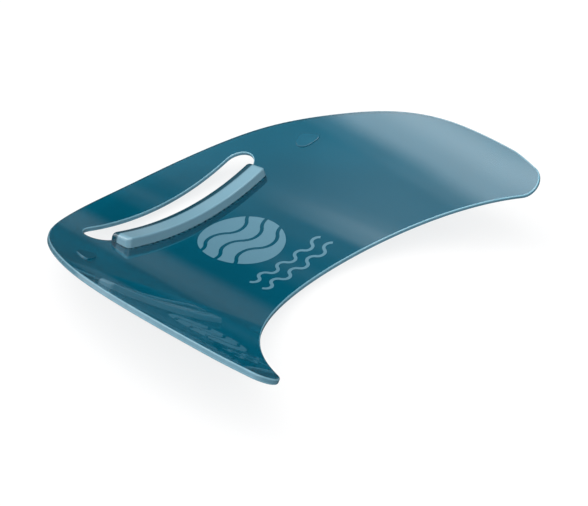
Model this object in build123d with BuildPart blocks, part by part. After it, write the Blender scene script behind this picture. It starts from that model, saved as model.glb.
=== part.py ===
from build123d import *
import os
from math import asin, cos, degrees, radians, sin, sqrt

os.makedirs("parts", exist_ok=True)

# Hand-held underwater wing: one tinted sheet bent to a cylinder, with a hand slot and a clear grip.
# Frame: +X right wing tip, +Y leading edge, +Z up; origin under the middle of the outline, on the floor.
# Heights h are measured from the upper face of the sheet, towards the bend axis.

# ---------------------------------------------------------------- sheet
sheet_thickness = 6.0
sheet_radius = 408.0            # concave upper face
sheet_top_z = 16.35             # lowest line of the upper face, at x = 0
axis_z = sheet_top_z + sheet_radius
edge_round = 1.4

nose_y = 247.5                  # leading edge on the centre line
shoulder = [(97.5, 229.7), (181.6, 172.0), (238.0, 76.5)]
widest = (275.0, -104.0)
flank = (268.6, -190.0)
tip_centre = (241.0, -230.0)
tip_radius = 17.5
tip_angle = 17.0                # from +X down to the start of the tip round
tail_y = -96.0                  # trailing edge on the centre line
tail_radius = 249.0

# ---------------------------------------------------------------- hand slot
slot_half_length = 145.0
slot_half_width = 22.0
slot_y = 149.5

# ---------------------------------------------------------------- grip on the rear edge of the slot
grip_half_length = 126.0
grip_rear_y = 97.0
grip_front_y = 131.0
grip_rear_height = 13.5         # upper half, above the sheet
grip_front_height = 10.6
lower_rear_height = 10.5        # lower half, below the sheet
lower_front_height = 8.2
grip_front_round = 9.0
lower_front_round = 7.0
grip_rear_round = 2.2
grip_corner = 6.0
edge_gap = 0.3                  # between the slot edge and the inside of the grip

# ---------------------------------------------------------------- screws through grip and sheet
screw_count = 10
screw_pitch = 22.3
screw_y = 102.5
screw_r = 1.5
screw_reach = 5.0               # into the upper half
head_r = 2.8
head_height = 2.6
head_sink = 3.4
socket_flat = 2.5
clearance_r = 1.8
counterbore_r = 3.1

# ---------------------------------------------------------------- prints and pads on the upper face
film_thickness = 0.25
emblem_y = 26.5
emblem_radius = 56.0
wave_gap = 5.0
wave_rows = [-27.0, 0.0, 27.0]
wave_chord = 38.0
wave_rise = 8.0
band_rows = [-49.0, -69.0]
band_chord = 16.4
band_rise = 5.2
band_arcs = 8
band_stroke = 4.2
pad_thickness = 1.6
pad_round = 0.7
pad_outline = [(183.0, 85.0), (187.5, 96.5), (198.0, 98.5), (204.8, 85.0), (205.5, 69.5), (193.5, 73.0)]

slot_rear_y = slot_y - slot_half_width
inner_y = slot_rear_y + edge_gap
seam_h = -sheet_thickness / 2
seat_h = head_sink - sheet_thickness - lower_rear_height
upward = (Align.CENTER, Align.CENTER, Align.MIN)
downward = (Align.CENTER, Align.CENTER, Align.MAX)
screw_turns = [(i - (screw_count - 1) / 2) * screw_pitch / sheet_radius for i in range(screw_count)]


def faces_on_bend(outline):
    """Cut a flat outline out of the sheet's concave upper face, looking straight down."""
    with BuildPart() as blank:
        add(outline)
        extrude(amount=200)
        with Locations(Location((0, 0, axis_z), (90, 0, 0))):
            Cylinder(sheet_radius, 700, mode=Mode.SUBTRACT)
    rounds = blank.faces().filter_by(GeomType.CYLINDER)
    return [f for f in rounds if abs(f.radius - sheet_radius) < 0.5]


def normal_at(turn, y, height):
    """Location on the sheet's normal at an angle from the centre line; local +Z points up the normal."""
    swing = Location((0, 0, axis_z)) * Rotation(0, -degrees(turn), 0)
    return swing * Location((0, y, height - sheet_radius))


def grip_plane():
    """Radial plane through the left end of the grip; local Y is height less the sheet radius."""
    a = asin(grip_half_length / sheet_radius)
    return Plane(origin=(0, 0, axis_z), x_dir=(0, 1, 0), z_dir=(cos(a), 0, -sin(a)))


def level(y, height):
    """Point of a grip section at a height above the sheet."""
    return (y, height - sheet_radius)


grip_arc = 2 * degrees(asin(grip_half_length / sheet_radius))
bend_axis = Axis((0, 0, axis_z), (0, -1, 0))

# ================================================================ wing plate
tail_centre_y = tail_y - tail_radius
reach = sqrt(tip_centre[0] ** 2 + (tip_centre[1] - tail_centre_y) ** 2)
tail_end = (tail_radius * tip_centre[0] / reach,
            tail_centre_y + tail_radius * (tip_centre[1] - tail_centre_y) / reach)
tail_mid = (tail_radius * sin(radians(32)), tail_centre_y + tail_radius * cos(radians(32)))
tip_start = (tip_centre[0] + tip_radius * cos(radians(tip_angle)),
             tip_centre[1] - tip_radius * sin(radians(tip_angle)))
tip_low = (tip_centre[0] - 2.0, tip_centre[1] - tip_radius)

with BuildSketch() as plate_outline:
    with BuildLine():
        nose = Spline((0, nose_y), *shoulder, widest, flank, tip_start,
                      tangents=[(1, 0), (-sin(radians(tip_angle)), -cos(radians(tip_angle)))])
        tip = ThreePointArc(tip_start, tip_low, tail_end)
        tail = ThreePointArc(tail_end, tail_mid, (0, tail_y))
        mirror(about=Plane.YZ)
    make_face()
    with Locations((0, slot_y)):
        SlotOverall(2 * slot_half_length, 2 * slot_half_width, mode=Mode.SUBTRACT)

with BuildPart() as wing_plate:
    thicken(to_thicken=faces_on_bend(plate_outline.sketch)[0], amount=-sheet_thickness)
    rims = wing_plate.edges().filter_by(lambda e: e.length > 30)
    fillet(rims, radius=edge_round)
    for turn in screw_turns:
        with Locations(normal_at(turn, screw_y, -sheet_thickness / 2)):
            Cylinder(clearance_r, sheet_thickness + 2, mode=Mode.SUBTRACT)
wing_plate.part.label = "wing_plate"
export_step(wing_plate.part, "parts/wing_plate.step")

# ================================================================ grip, upper half
with BuildPart() as grip_upper:
    with BuildSketch(grip_plane()):
        with BuildLine() as upper_line:
            Polyline(level(grip_rear_y, 0), level(grip_rear_y, grip_rear_height),
                     level(grip_front_y, grip_front_height), level(grip_front_y, seam_h),
                     level(inner_y, seam_h), level(inner_y, 0), close=True)
            fillet(upper_line.vertices().sort_by(Axis.Y)[-2:].sort_by(Axis.X)[1], radius=grip_front_round)
            fillet(upper_line.vertices().sort_by(Axis.Y)[-1], radius=grip_rear_round)
        make_face()
    revolve(axis=bend_axis, revolution_arc=grip_arc)
    rear_corners = grip_upper.edges().filter_by(GeomType.LINE).sort_by(Axis.Y)[:2]
    fillet(rear_corners, radius=grip_corner)
    for turn in screw_turns:
        with Locations(normal_at(turn, screw_y, screw_reach / 2)):
            Cylinder(screw_r, screw_reach, mode=Mode.SUBTRACT)
grip_upper.part.label = "grip_upper"
export_step(grip_upper.part, "parts/grip_upper.step")

# ================================================================ grip, lower half
with BuildPart() as grip_lower:
    with BuildSketch(grip_plane()):
        with BuildLine() as lower_line:
            Polyline(level(grip_rear_y, -sheet_thickness),
                     level(grip_rear_y, -sheet_thickness - lower_rear_height),
                     level(grip_front_y, -sheet_thickness - lower_front_height),
                     level(grip_front_y, seam_h), level(inner_y, seam_h),
                     level(inner_y, -sheet_thickness), close=True)
            fillet(lower_line.vertices().sort_by(Axis.Y)[:2].sort_by(Axis.X)[1], radius=lower_front_round)
            fillet(lower_line.vertices().sort_by(Axis.Y)[0], radius=grip_rear_round)
        make_face()
    revolve(axis=bend_axis, revolution_arc=grip_arc)
    rear_corners = grip_lower.edges().filter_by(GeomType.LINE).sort_by(Axis.Y)[:2]
    fillet(rear_corners, radius=grip_corner)
    for turn in screw_turns:
        with Locations(normal_at(turn, screw_y, seat_h)):
            Cylinder(clearance_r, -seat_h, align=upward, mode=Mode.SUBTRACT)
            Cylinder(counterbore_r, head_sink + 2, align=downward, mode=Mode.SUBTRACT)
grip_lower.part.label = "grip_lower"
export_step(grip_lower.part, "parts/grip_lower.step")

# ================================================================ grip screws
with BuildPart() as grip_screws:
    for turn in screw_turns:
        with Locations(normal_at(turn, screw_y, seat_h)):
            Cylinder(screw_r, screw_reach - seat_h, align=upward)
            Cylinder(head_r, head_height, align=downward)
        with Locations(normal_at(turn, screw_y, seat_h - head_height)):
            with BuildSketch() as socket:
                RegularPolygon(radius=socket_flat / 2, side_count=6, major_radius=False)
            extrude(amount=1.4, mode=Mode.SUBTRACT)
grip_screws.part.label = "grip_screws"
export_step(grip_screws.part, "parts/grip_screws.step")

# ================================================================ printed emblem: a disc of waves
with BuildSketch() as emblem_print:
    with Locations((0, emblem_y)):
        Circle(emblem_radius)
    for row in wave_rows:
        with BuildLine() as wave:
            for i in range(-2, 2):
                start = (i * wave_chord, emblem_y + row)
                end = ((i + 1) * wave_chord, emblem_y + row)
                rise = wave_rise if i % 2 else -wave_rise
                ThreePointArc(start, ((start[0] + end[0]) / 2, start[1] + rise), end)
        trace(wave.line, line_width=wave_gap, mode=Mode.SUBTRACT)

with BuildPart() as emblem_film:
    for face in faces_on_bend(emblem_print.sketch):
        thicken(to_thicken=face, amount=film_thickness)
emblem_film.part.label = "emblem_film"
export_step(emblem_film.part, "parts/emblem_film.step")

# ================================================================ printed band: two plain wave lines
with BuildSketch() as band_print:
    for row in band_rows:
        with BuildLine() as ripple:
            for i in range(-band_arcs // 2, band_arcs // 2):
                start = (i * band_chord, row)
                end = ((i + 1) * band_chord, row)
                rise = band_rise if i % 2 else -band_rise
                ThreePointArc(start, ((start[0] + end[0]) / 2, row + rise), end)
        trace(ripple.line, line_width=band_stroke)

with BuildPart() as band_film:
    for face in faces_on_bend(band_print.sketch):
        thicken(to_thicken=face, amount=film_thickness)
band_film.part.label = "band_film"
export_step(band_film.part, "parts/band_film.step")

# ================================================================ clear pads near the leading edge
with BuildSketch() as right_pad_outline:
    with BuildLine():
        Spline(*pad_outline, periodic=True)
    make_face()

with BuildPart() as pad_right:
    thicken(to_thicken=faces_on_bend(right_pad_outline.sketch)[0], amount=pad_thickness)
    rims = pad_right.edges().filter_by(lambda e: e.length > 30)
    fillet(max(rims, key=lambda e: e.position_at(0.5).Z), radius=pad_round)
pad_right.part.label = "pad_right"
export_step(pad_right.part, "parts/pad_right.step")

with BuildPart() as pad_left:
    mirror(pad_right.part, about=Plane.YZ)
pad_left.part.label = "pad_left"
export_step(pad_left.part, "parts/pad_left.step")
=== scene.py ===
"""Hand-held underwater wing: materials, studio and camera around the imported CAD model."""
import math
from collections import defaultdict

import bmesh
import bpy
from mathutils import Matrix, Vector
from mathutils.geometry import delaunay_2d_cdt


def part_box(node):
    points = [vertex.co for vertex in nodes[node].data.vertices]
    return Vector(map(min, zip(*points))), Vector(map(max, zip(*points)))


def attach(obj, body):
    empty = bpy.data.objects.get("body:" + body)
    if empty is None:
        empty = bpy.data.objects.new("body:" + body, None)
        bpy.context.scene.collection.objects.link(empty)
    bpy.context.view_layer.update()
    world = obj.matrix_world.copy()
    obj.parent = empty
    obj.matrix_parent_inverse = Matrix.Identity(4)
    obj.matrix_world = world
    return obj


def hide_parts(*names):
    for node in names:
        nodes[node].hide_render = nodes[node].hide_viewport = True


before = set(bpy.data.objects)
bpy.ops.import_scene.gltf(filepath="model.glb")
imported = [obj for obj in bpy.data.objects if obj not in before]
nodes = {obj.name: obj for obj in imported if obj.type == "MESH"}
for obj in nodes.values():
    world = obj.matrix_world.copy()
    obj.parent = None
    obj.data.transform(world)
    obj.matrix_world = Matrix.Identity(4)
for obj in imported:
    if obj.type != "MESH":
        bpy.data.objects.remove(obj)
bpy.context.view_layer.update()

# ---------------------------------------------------------------- the bend, as in the CAD
sheet_radius = 0.408
sheet_thickness = 0.006
edge_round = 0.0014
emblem_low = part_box("emblem_film")[0][2]
axis_z = emblem_low + sheet_radius

# ---------------------------------------------------------------- sheet mesh
outline_step = 0.0025
curve_pieces = 4                # straight pieces to each outline step, before it is spaced evenly
face_step = 0.007
rim_clearance = 0.55            # of a face step, kept free beside the outline
round_steps = 5
wall_steps = 2
weld_distance = 1e-6
ring_tolerance = 2e-5
fill_inside = 1                 # delaunay_2d_cdt keeps what the outer outline holds, the slot included
fill_tolerance = 1e-7
face_slot, round_slot, wall_slot = 0, 1, 2

# ---------------------------------------------------------------- plastics
plastic_ior = 1.5
# pairs of colours that a surface varies between, and the share of light that passes through it
sheet_tints = ((0.002, 0.118, 0.190), (0.002, 0.129, 0.208))
sheet_share = 0.92
# the edge's tints are painted light: a painted highlight along the rounds, and painted light carried out of
# the plastic on the wall
round_highlight_tints = ((0.17, 0.35, 0.44), (0.20, 0.40, 0.50))
wall_painted_light_tints = ((0.09, 0.22, 0.29), (0.12, 0.26, 0.34))
edge_share = 0.4
pad_tints = ((0.002, 0.064, 0.105), (0.002, 0.071, 0.115))
pad_share = 0.0
# the grip's tints are those of its rear and its front; the front's darker tint is painted shade, standing in
# for the tinted sheet seen through the clear plastic
grip_upper_painted_shade_tints = ((0.20, 0.37, 0.46), (0.005, 0.058, 0.09))
grip_upper_share = 0.35
# the lower half's rear is painted near white, a painted brightness for the lighter band it shows under the
# sheet; its front carries the same painted shade as the upper's
grip_lower_painted_light_tints = ((0.88, 0.95, 0.97), (0.30, 0.50, 0.58))
grip_lower_share = 0.2
grip_painted_shade_start = 0.1165        # along Y, where the front's painted shade begins
grip_painted_shade_fade = 0.003

# ---------------------------------------------------------------- steel, print and bump depths
steel_tints = ((0.24, 0.28, 0.32), (0.36, 0.40, 0.44))
ink_tints = ((0.054, 0.138, 0.188), (0.066, 0.164, 0.218))
ink_relief = 0.00003
sheet_ripple = 0.00012

# ---------------------------------------------------------------- view
view_azimuth = math.radians(-49.06)
view_elevation = math.radians(33.03)
view_target = Vector((-0.0136, -0.0732, emblem_low + 0.0307))
view_distance = 1.156
view_lens = 59.58
view_sensor = 36

# ---------------------------------------------------------------- floor
floor_half = 60.0
floor_albedo = 0.14
floor_glow = 0.80
floor_roughness = 0.9

# ---------------------------------------------------------------- studio
# brightness of the studio dome, by the angle in degrees that climbs from the right horizon over the board
dome = [(0, 0.04), (4, 0.15), (9, 0.22), (14, 0.22), (22, 0.0), (31, 0.0), (37, 0.1), (41, 0.22), (46.5, 0.1),
        (50, 0.16), (55, 0.3), (60, 0.33), (66, 0.4), (180, 0.4)]
# the overhead panel adds to it, and fades towards the nose by the direction's Y
panel = [(59, 0.0), (63, 1.3), (67, 1.7), (71, 1.0), (75, 0.72), (90, 0.65), (98, 0.0)]
panel_end = [(0.0, 1.0), (0.47, 1.0), (0.62, 0.0)]
# the large soft box on the left, and the degrees it is raised by at its tail end and at its nose end
soft_box = [(90, 0.0), (94, 0.5), (103, 3.8), (112, 5.6), (122, 3.0), (135, 1.8), (150, 1.2), (180, 0.6)]
soft_box_slant = (7.5, -10.1)
soft_box_slant_range = (0.40, 0.65)     # of the direction's Y, from the tail end to the nose end
# the background's strength; the ramps hold their levels as shares of it
dome_peak = 6.0
half_turn = 180
# what the camera sees past the floor
backdrop = 1.0


# ---------------------------------------------------------------- helpers
def new_material(name):
    material = bpy.data.materials.new(name)
    material.use_nodes = True
    return material, material.node_tree.nodes, material.node_tree.links


def dress(node, material):
    data = nodes[node].data
    data.materials.clear()
    data.materials.append(material)


def link_object(name, data):
    piece = bpy.data.objects.new(name, data)
    bpy.context.scene.collection.objects.link(piece)
    return piece


def unroll(point):
    """Along the bend, along Y and above the upper face, for a point in space."""
    turn = math.atan2(point[0], axis_z - point[2])
    reach = math.hypot(point[0], axis_z - point[2])
    return turn * sheet_radius, point[1], sheet_radius - reach


def roll(along, y, height):
    """The point in space for a place on the unrolled sheet."""
    turn = along / sheet_radius
    reach = sheet_radius - height
    return Vector((reach * math.sin(turn), y, axis_z - reach * math.cos(turn)))


def roll_normal(along, flat):
    """A direction on the unrolled sheet, turned with the bend."""
    turn = along / sheet_radius
    return Vector((flat[0] * math.cos(turn) - flat[2] * math.sin(turn), flat[1],
                   flat[0] * math.sin(turn) + flat[2] * math.cos(turn)))


# ---------------------------------------------------------------- sheet: outlines from the CAD plate
def cad_loops():
    """The CAD plate's closed outlines where its wall meets the upper round, unrolled, the outer one first."""
    mesh = bmesh.new()
    mesh.from_mesh(nodes["wing_plate"].data)
    bmesh.ops.remove_doubles(mesh, verts=mesh.verts, dist=weld_distance)
    ring = {v for v in mesh.verts if abs(unroll(v.co)[2] + edge_round) < ring_tolerance}
    beside = defaultdict(list)
    for edge in mesh.edges:
        if edge.verts[0] in ring and edge.verts[1] in ring:
            beside[edge.verts[0]].append(edge.verts[1])
            beside[edge.verts[1]].append(edge.verts[0])
    loops = []
    seen = set()
    for start in sorted(beside, key=lambda v: v.index):
        if start in seen:
            continue
        loop = [start]
        seen.add(start)
        while True:
            after = [v for v in beside[loop[-1]] if v not in seen]
            if not after:
                break
            loop.append(after[0])
            seen.add(after[0])
        loops.append([Vector(unroll(v.co)[:2]) for v in loop])
    mesh.free()
    return sorted(loops, key=lambda loop: -len(loop))


def curve_through(points, step):
    """A fine closed polyline on the cubic curve through the points."""
    fine = []
    count = len(points)
    for i in range(count):
        before, start, end, after = (points[(i + k) % count] for k in (-1, 0, 1, 2))
        length = (end - start).length
        into = (end - before) * (length / ((start - before).length + length))
        out = (after - start) * (length / ((after - end).length + length))
        pieces = max(2, int(length / (step / curve_pieces)))
        for k in range(pieces):
            t = k / pieces
            fine.append((2 * t ** 3 - 3 * t ** 2 + 1) * start + (t ** 3 - 2 * t ** 2 + t) * into
                        + (3 * t ** 2 - 2 * t ** 3) * end + (t ** 3 - t ** 2) * out)
    return fine


def smooth_loop(points, step):
    """A closed curve through the points, at even steps."""
    fine = curve_through(points, step)
    ends = fine[1:] + fine[:1]
    total = sum((b - a).length for a, b in zip(fine, ends))
    wanted = int(total / step)
    even = []
    walked = 0.0
    for a, b in zip(fine, ends):
        run = (b - a).length
        while len(even) < wanted and len(even) * total / wanted <= walked + run:
            even.append(a.lerp(b, (len(even) * total / wanted - walked) / run))
        walked += run
    return even


def outward(loop):
    """The direction out of the material at each point of a loop that has the material on its left."""
    count = len(loop)
    sides = []
    for i in range(count):
        along = (loop[(i + 1) % count] - loop[i - 1]).normalized()
        sides.append(Vector((along[1], -along[0])))
    return sides


def area(loop):
    """The loop's area, positive if it runs anticlockwise."""
    return sum(a[0] * b[1] - b[0] * a[1] for a, b in zip(loop, loop[1:] + loop[:1])) / 2


def inside(point, loop):
    """True if the point is inside the closed loop."""
    crossings = 0
    for a, b in zip(loop, loop[1:] + loop[:1]):
        if (a[1] > point[1]) != (b[1] > point[1]):
            crossings += point[0] < a[0] + (b[0] - a[0]) * (point[1] - a[1]) / (b[1] - a[1])
    return crossings % 2 == 1


def edge_profile():
    """(inset, height, outward share, upward share) from the upper face round to the lower face."""
    rows = []
    for i in range(round_steps + 1):
        turn = math.pi / 2 * i / round_steps
        rows.append((edge_round * (1 - math.sin(turn)), -edge_round * (1 - math.cos(turn)),
                     math.sin(turn), math.cos(turn)))
    for i in range(1, wall_steps):
        share = i / wall_steps
        rows.append((0, -edge_round - share * (sheet_thickness - 2 * edge_round), 1, 0))
    for inset, height, out, up in list(reversed(rows[:round_steps + 1])):
        rows.append((inset, -sheet_thickness - height, out, -up))
    return rows


def face_grid(rim):
    """Evenly spaced points over the box round the rim, none of them close to it."""
    reach = max(abs(p[0]) for p in rim)
    low = min(p[1] for p in rim)
    high = max(p[1] for p in rim)
    clear = (face_step * rim_clearance) ** 2
    columns = int(2 * reach / face_step)
    rows = int((high - low) / face_step)
    cells = defaultdict(list)
    for p in rim:
        cells[(int(p[0] // face_step), int(p[1] // face_step))].append(p)
    grid = []
    for i in range(columns + 1):
        for k in range(rows + 1):
            p = Vector((-reach + 2 * reach * i / columns, low + (high - low) * k / rows))
            cx, cy = int(p[0] // face_step), int(p[1] // face_step)
            close = [q for dx in (-1, 0, 1) for dy in (-1, 0, 1) for q in cells[(cx + dx, cy + dy)]]
            if all((q - p).length_squared > clear for q in close):
                grid.append(p)
    return grid


class SheetMesh:
    """The vertices, normals, faces and material slots of the bent plate as it is built up."""

    def __init__(self):
        self.spots = []
        self.normals = []
        self.faces = []
        self.slots = []

    def add_spot(self, along, y, height, flat_normal):
        """Put a vertex on the bend and return its index."""
        self.spots.append(roll(along, y, height))
        self.normals.append(roll_normal(along, flat_normal))
        return len(self.spots) - 1

    def add_face(self, corners, slot):
        self.faces.append(corners)
        self.slots.append(slot)

    def add_edge(self, loop, sides, profile):
        """The rounded edge along one outline; returns a ring of vertices for each row of the profile."""
        rings = []
        for inset, height, out, up in profile:
            places = [point - side * inset for point, side in zip(loop, sides)]
            rings.append([self.add_spot(place[0], place[1], height, (side[0] * out, side[1] * out, up))
                          for place, side in zip(places, sides)])
        last = len(profile) - 1
        for r in range(last):
            here, there = rings[r], rings[r + 1]
            slot = wall_slot if round_steps <= r < last - round_steps else round_slot
            for i in range(len(loop)):
                j = (i + 1) % len(loop)
                self.add_face([here[i], there[i], there[j], here[j]], slot)
        return rings

    def to_object(self, name):
        data = bpy.data.meshes.new(name)
        data.from_pydata([tuple(s) for s in self.spots], [], self.faces)
        data.polygons.foreach_set("material_index", self.slots)
        data.polygons.foreach_set("use_smooth", [True] * len(self.faces))
        data.normals_split_custom_set_from_vertices([tuple(n) for n in self.normals])
        return link_object(name, data)


def build_sheet():
    """The bent plate with its rounded edge, meshed evenly."""
    mesh = SheetMesh()
    profile = edge_profile()
    rims = []
    rim_edges = []
    rim_vertices = []
    for order, loop in enumerate(smooth_loop(points, outline_step) for points in cad_loops()):
        if (area(loop) > 0) != (order == 0):
            loop.reverse()
        sides = outward(loop)
        rings = mesh.add_edge(loop, sides, profile)
        rim_vertices += zip(rings[0], rings[-1])
        first = sum(len(rim) for rim in rims)
        rims.append([point - side * edge_round for point, side in zip(loop, sides)])
        rim_edges += [(first + i, first + (i + 1) % len(loop)) for i in range(len(loop))]
    flat = rims[0] + rims[1]
    flat += face_grid(flat)
    points, _, triangles, origins, _, _ = delaunay_2d_cdt(flat, rim_edges, [], fill_inside, fill_tolerance)
    above = {}
    below = {}
    for i, point in enumerate(points):
        source = min(origins[i], default=len(flat))
        if source < len(rim_vertices):
            above[i], below[i] = rim_vertices[source]
        else:
            above[i] = mesh.add_spot(point[0], point[1], 0, (0, 0, 1))
            below[i] = mesh.add_spot(point[0], point[1], -sheet_thickness, (0, 0, -1))
    for corners in triangles:
        middle = sum((points[c] for c in corners), Vector((0, 0))) / 3
        if not inside(middle, rims[1]):
            mesh.add_face([above[c] for c in corners], face_slot)
            mesh.add_face([below[c] for c in reversed(corners)], face_slot)
    return mesh.to_object("sheet")


# ---------------------------------------------------------------- material helpers
def noise(made, link, **settings):
    """A noise that reads the piece's own coordinates in metres."""
    where = made.new("ShaderNodeTexCoord")
    texture = made.new("ShaderNodeTexNoise")
    for name, value in settings.items():
        texture.inputs[name].default_value = value
    link.new(where.outputs["Object"], texture.inputs["Vector"])
    return texture.outputs["Fac"]


def ranged(made, link, socket, low, high, start=0.3, end=0.7):
    """Run from low to high while the socket runs from start to end; the defaults suit a noise."""
    node = made.new("ShaderNodeMapRange")
    node.inputs["From Min"].default_value = start
    node.inputs["From Max"].default_value = end
    node.inputs["To Min"].default_value = low
    node.inputs["To Max"].default_value = high
    link.new(socket, node.inputs["Value"])
    return node.outputs["Result"]


def bumped(made, link, shader, socket, depth):
    """Raise the surface by up to the depth in metres where the socket is high."""
    node = made.new("ShaderNodeBump")
    node.inputs["Distance"].default_value = depth
    node.inputs["Strength"].default_value = 1.0
    link.new(socket, node.inputs["Height"])
    link.new(node.outputs["Normal"], shader.inputs["Normal"])


def blended(made, link, socket, tints):
    """A colour that runs from the first tint to the second while the socket runs from 0 to 1."""
    node = made.new("ShaderNodeMix")
    node.data_type = "RGBA"
    link.new(socket, node.inputs["Factor"])
    node.inputs["A"].default_value = (*tints[0], 1)
    node.inputs["B"].default_value = (*tints[1], 1)
    return node.outputs["Result"]


def plastic(name, share):
    """A new glossy plastic, with the share of light that passes through it."""
    material, made, link = new_material(name)
    shader = made["Principled BSDF"]
    shader.inputs["IOR"].default_value = plastic_ior
    shader.inputs["Transmission Weight"].default_value = share
    return material, made, link, shader


# ---------------------------------------------------------------- materials
def tinted_sheet():
    """Polished sheet stock: slight tint changes, hand smears in the gloss and a faint forming ripple."""
    material, made, link, shader = plastic("tinted_sheet", sheet_share)
    clouds = noise(made, link, Scale=9.0, Detail=2.0)
    link.new(blended(made, link, ranged(made, link, clouds, 0, 1), sheet_tints), shader.inputs["Base Color"])
    smears = noise(made, link, Scale=22.0, Detail=2.0)
    link.new(ranged(made, link, smears, 0.02, 0.05), shader.inputs["Roughness"])
    ripple = noise(made, link, Scale=14.0, Detail=0.0)
    bumped(made, link, shader, ripple, sheet_ripple)
    return material


def cut_edge(name, tints):
    """The sheet's edge, painted lighter than the sheet: painted light for what the plastic carries out at its
    edge, with the fine grain of the cut.
    """
    material, made, link, shader = plastic(name, edge_share)
    grain = noise(made, link, Scale=160.0, Detail=4.0)
    link.new(blended(made, link, ranged(made, link, grain, 0, 1), tints), shader.inputs["Base Color"])
    link.new(ranged(made, link, grain, 0.08, 0.2), shader.inputs["Roughness"])
    return material


def clear_grip(name, tints, share):
    """Clear moulded plastic with painted shade ahead of the row of screws: darker there, standing in for the
    tinted sheet seen through it.
    """
    material, made, link, shader = plastic(name, share)
    where = made.new("ShaderNodeTexCoord")
    split = made.new("ShaderNodeSeparateXYZ")
    link.new(where.outputs["Object"], split.inputs["Vector"])
    # the front's painted shade: darker ahead of the row of screws
    painted_shade_front = ranged(made, link, split.outputs["Y"], 0, 1, grip_painted_shade_start, grip_painted_shade_start + grip_painted_shade_fade)
    link.new(blended(made, link, painted_shade_front, tints), shader.inputs["Base Color"])
    handling = noise(made, link, Scale=24.0, Detail=2.0)
    link.new(ranged(made, link, handling, 0.10, 0.14), shader.inputs["Roughness"])
    return material


def clear_pad():
    """A thin pad in the sheet's own colour, so that mostly its rim shows."""
    material, made, link, shader = plastic("clear_pad", pad_share)
    grain = noise(made, link, Scale=90.0, Detail=3.0)
    link.new(blended(made, link, ranged(made, link, grain, 0, 1), pad_tints), shader.inputs["Base Color"])
    link.new(ranged(made, link, grain, 0.03, 0.08), shader.inputs["Roughness"])
    return material


def steel():
    """Stainless screws with turning marks."""
    material, made, link = new_material("screw_steel")
    shader = made["Principled BSDF"]
    shader.inputs["Metallic"].default_value = 1.0
    marks = noise(made, link, Scale=900.0, Detail=2.0)
    link.new(blended(made, link, marks, steel_tints), shader.inputs["Base Color"])
    link.new(ranged(made, link, marks, 0.22, 0.42), shader.inputs["Roughness"])
    return material


def ink():
    """Screen print: a light, slightly uneven film with a fine mesh grain."""
    material, made, link = new_material("print")
    shader = made["Principled BSDF"]
    grain = noise(made, link, Scale=700.0, Detail=2.0)
    link.new(blended(made, link, ranged(made, link, grain, 0, 1), ink_tints), shader.inputs["Base Color"])
    link.new(ranged(made, link, grain, 0.42, 0.58), shader.inputs["Roughness"])
    bumped(made, link, shader, grain, ink_relief)
    return material


# ---------------------------------------------------------------- the wing
sheet = build_sheet()
sheet.data.materials.append(tinted_sheet())
sheet.data.materials.append(cut_edge("edge_round", round_highlight_tints))
sheet.data.materials.append(cut_edge("edge_wall", wall_painted_light_tints))
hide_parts("wing_plate")
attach(sheet, "root")

dress("grip_upper", clear_grip("clear_grip", grip_upper_painted_shade_tints, grip_upper_share))
dress("grip_lower", clear_grip("clear_grip_lower", grip_lower_painted_light_tints, grip_lower_share))
pad = clear_pad()
dress("pad_left", pad)
dress("pad_right", pad)
dress("grip_screws", steel())
film = ink()
dress("emblem_film", film)
dress("band_film", film)


# ---------------------------------------------------------------- floor, light and camera
def floor():
    """A plain pale floor that glows a little, so that its shadows stay light; the board doesn't mirror it."""
    data = bpy.data.meshes.new("floor")
    corners = [(-floor_half, -floor_half, 0), (floor_half, -floor_half, 0),
               (floor_half, floor_half, 0), (-floor_half, floor_half, 0)]
    data.from_pydata(corners, [], [(0, 1, 2, 3)])
    piece = link_object("floor", data)
    material, made, _ = new_material("floor")
    shader = made["Principled BSDF"]
    shader.inputs["Base Color"].default_value = (floor_albedo, floor_albedo, floor_albedo, 1)
    shader.inputs["Roughness"].default_value = floor_roughness
    shader.inputs["Specular IOR Level"].default_value = 0.0
    shader.inputs["Emission Color"].default_value = (1, 1, 1, 1)
    shader.inputs["Emission Strength"].default_value = floor_glow
    data.materials.append(material)
    piece.visible_glossy = False


def levels(made, link, socket, stops, scale, peak):
    """Follow stops of (place, level): the socket runs over place / scale, the result over level / peak."""
    ramp = made.new("ShaderNodeValToRGB")
    ramp.color_ramp.interpolation = "EASE"
    elements = ramp.color_ramp.elements
    while len(elements) > 1:
        elements.remove(elements[-1])
    for i, (place, level) in enumerate(stops):
        stop = elements[0] if i == 0 else elements.new(place / scale)
        stop.position = place / scale
        stop.color = (level / peak, level / peak, level / peak, 1)
    link.new(socket, ramp.inputs["Fac"])
    return ramp.outputs["Color"]


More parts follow.
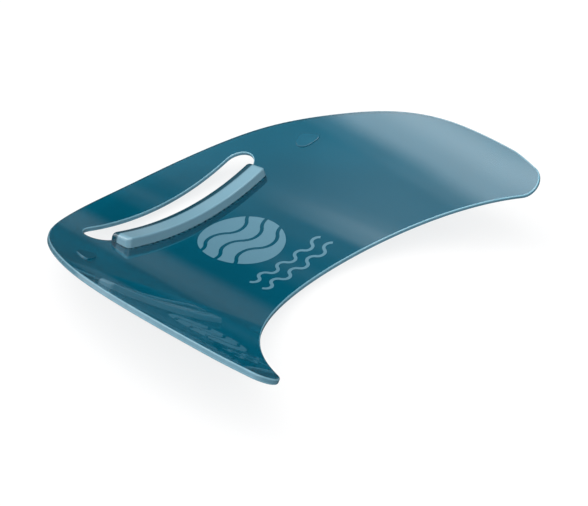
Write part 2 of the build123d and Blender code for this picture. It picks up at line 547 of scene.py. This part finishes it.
def combined(made, link, operation, first, second):
    """The result of a math operation on two values, each of them a socket or a number."""
    node = made.new("ShaderNodeMath")
    node.operation = operation
    for socket, value in zip(node.inputs, (first, second)):
        if isinstance(value, float):
            socket.default_value = value
        else:
            link.new(value, socket)
    return node.outputs["Value"]


def studio():
    """A dim dome with soft bands that run along the board, as long soft boxes make them."""
    world = bpy.data.worlds.new("studio")
    bpy.context.scene.world = world
    world.use_nodes = True
    made, link = world.node_tree.nodes, world.node_tree.links
    where = made.new("ShaderNodeTexCoord")
    split = made.new("ShaderNodeSeparateXYZ")
    link.new(where.outputs["Generated"], split.inputs["Vector"])
    turn = combined(made, link, "ARCTAN2", split.outputs["Z"], split.outputs["X"])
    angle = combined(made, link, "DIVIDE", turn, math.pi)
    base = levels(made, link, angle, dome, half_turn, dome_peak)
    strip = levels(made, link, angle, panel, half_turn, dome_peak)
    fade = levels(made, link, split.outputs["Y"], panel_end, 1, 1)
    slant = ranged(made, link, split.outputs["Y"], *(degrees / half_turn for degrees in soft_box_slant),
                   *soft_box_slant_range)
    side = levels(made, link, combined(made, link, "ADD", angle, slant), soft_box, half_turn, dome_peak)
    total = combined(made, link, "ADD", base, combined(made, link, "MULTIPLY", strip, fade))
    total = combined(made, link, "ADD", total, side)
    path = made.new("ShaderNodeLightPath")
    seen = combined(made, link, "MULTIPLY", path.outputs["Is Camera Ray"], backdrop / dome_peak)
    total = combined(made, link, "MAXIMUM", total, seen)
    back = made["Background"]
    link.new(total, back.inputs["Color"])
    back.inputs["Strength"].default_value = dome_peak


def camera():
    """The camera at the photograph's viewing angle."""
    data = bpy.data.cameras.new("camera")
    data.lens = view_lens
    data.sensor_width = view_sensor
    piece = link_object("camera", data)
    back = Vector((math.sin(view_azimuth) * math.cos(view_elevation),
                   -math.cos(view_azimuth) * math.cos(view_elevation), math.sin(view_elevation)))
    piece.location = view_target + back * view_distance
    piece.rotation_euler = (-back).to_track_quat("-Z", "Y").to_euler()
    bpy.context.scene.camera = piece


floor()
studio()
camera()
bpy.context.scene.view_settings.view_transform = "Standard"
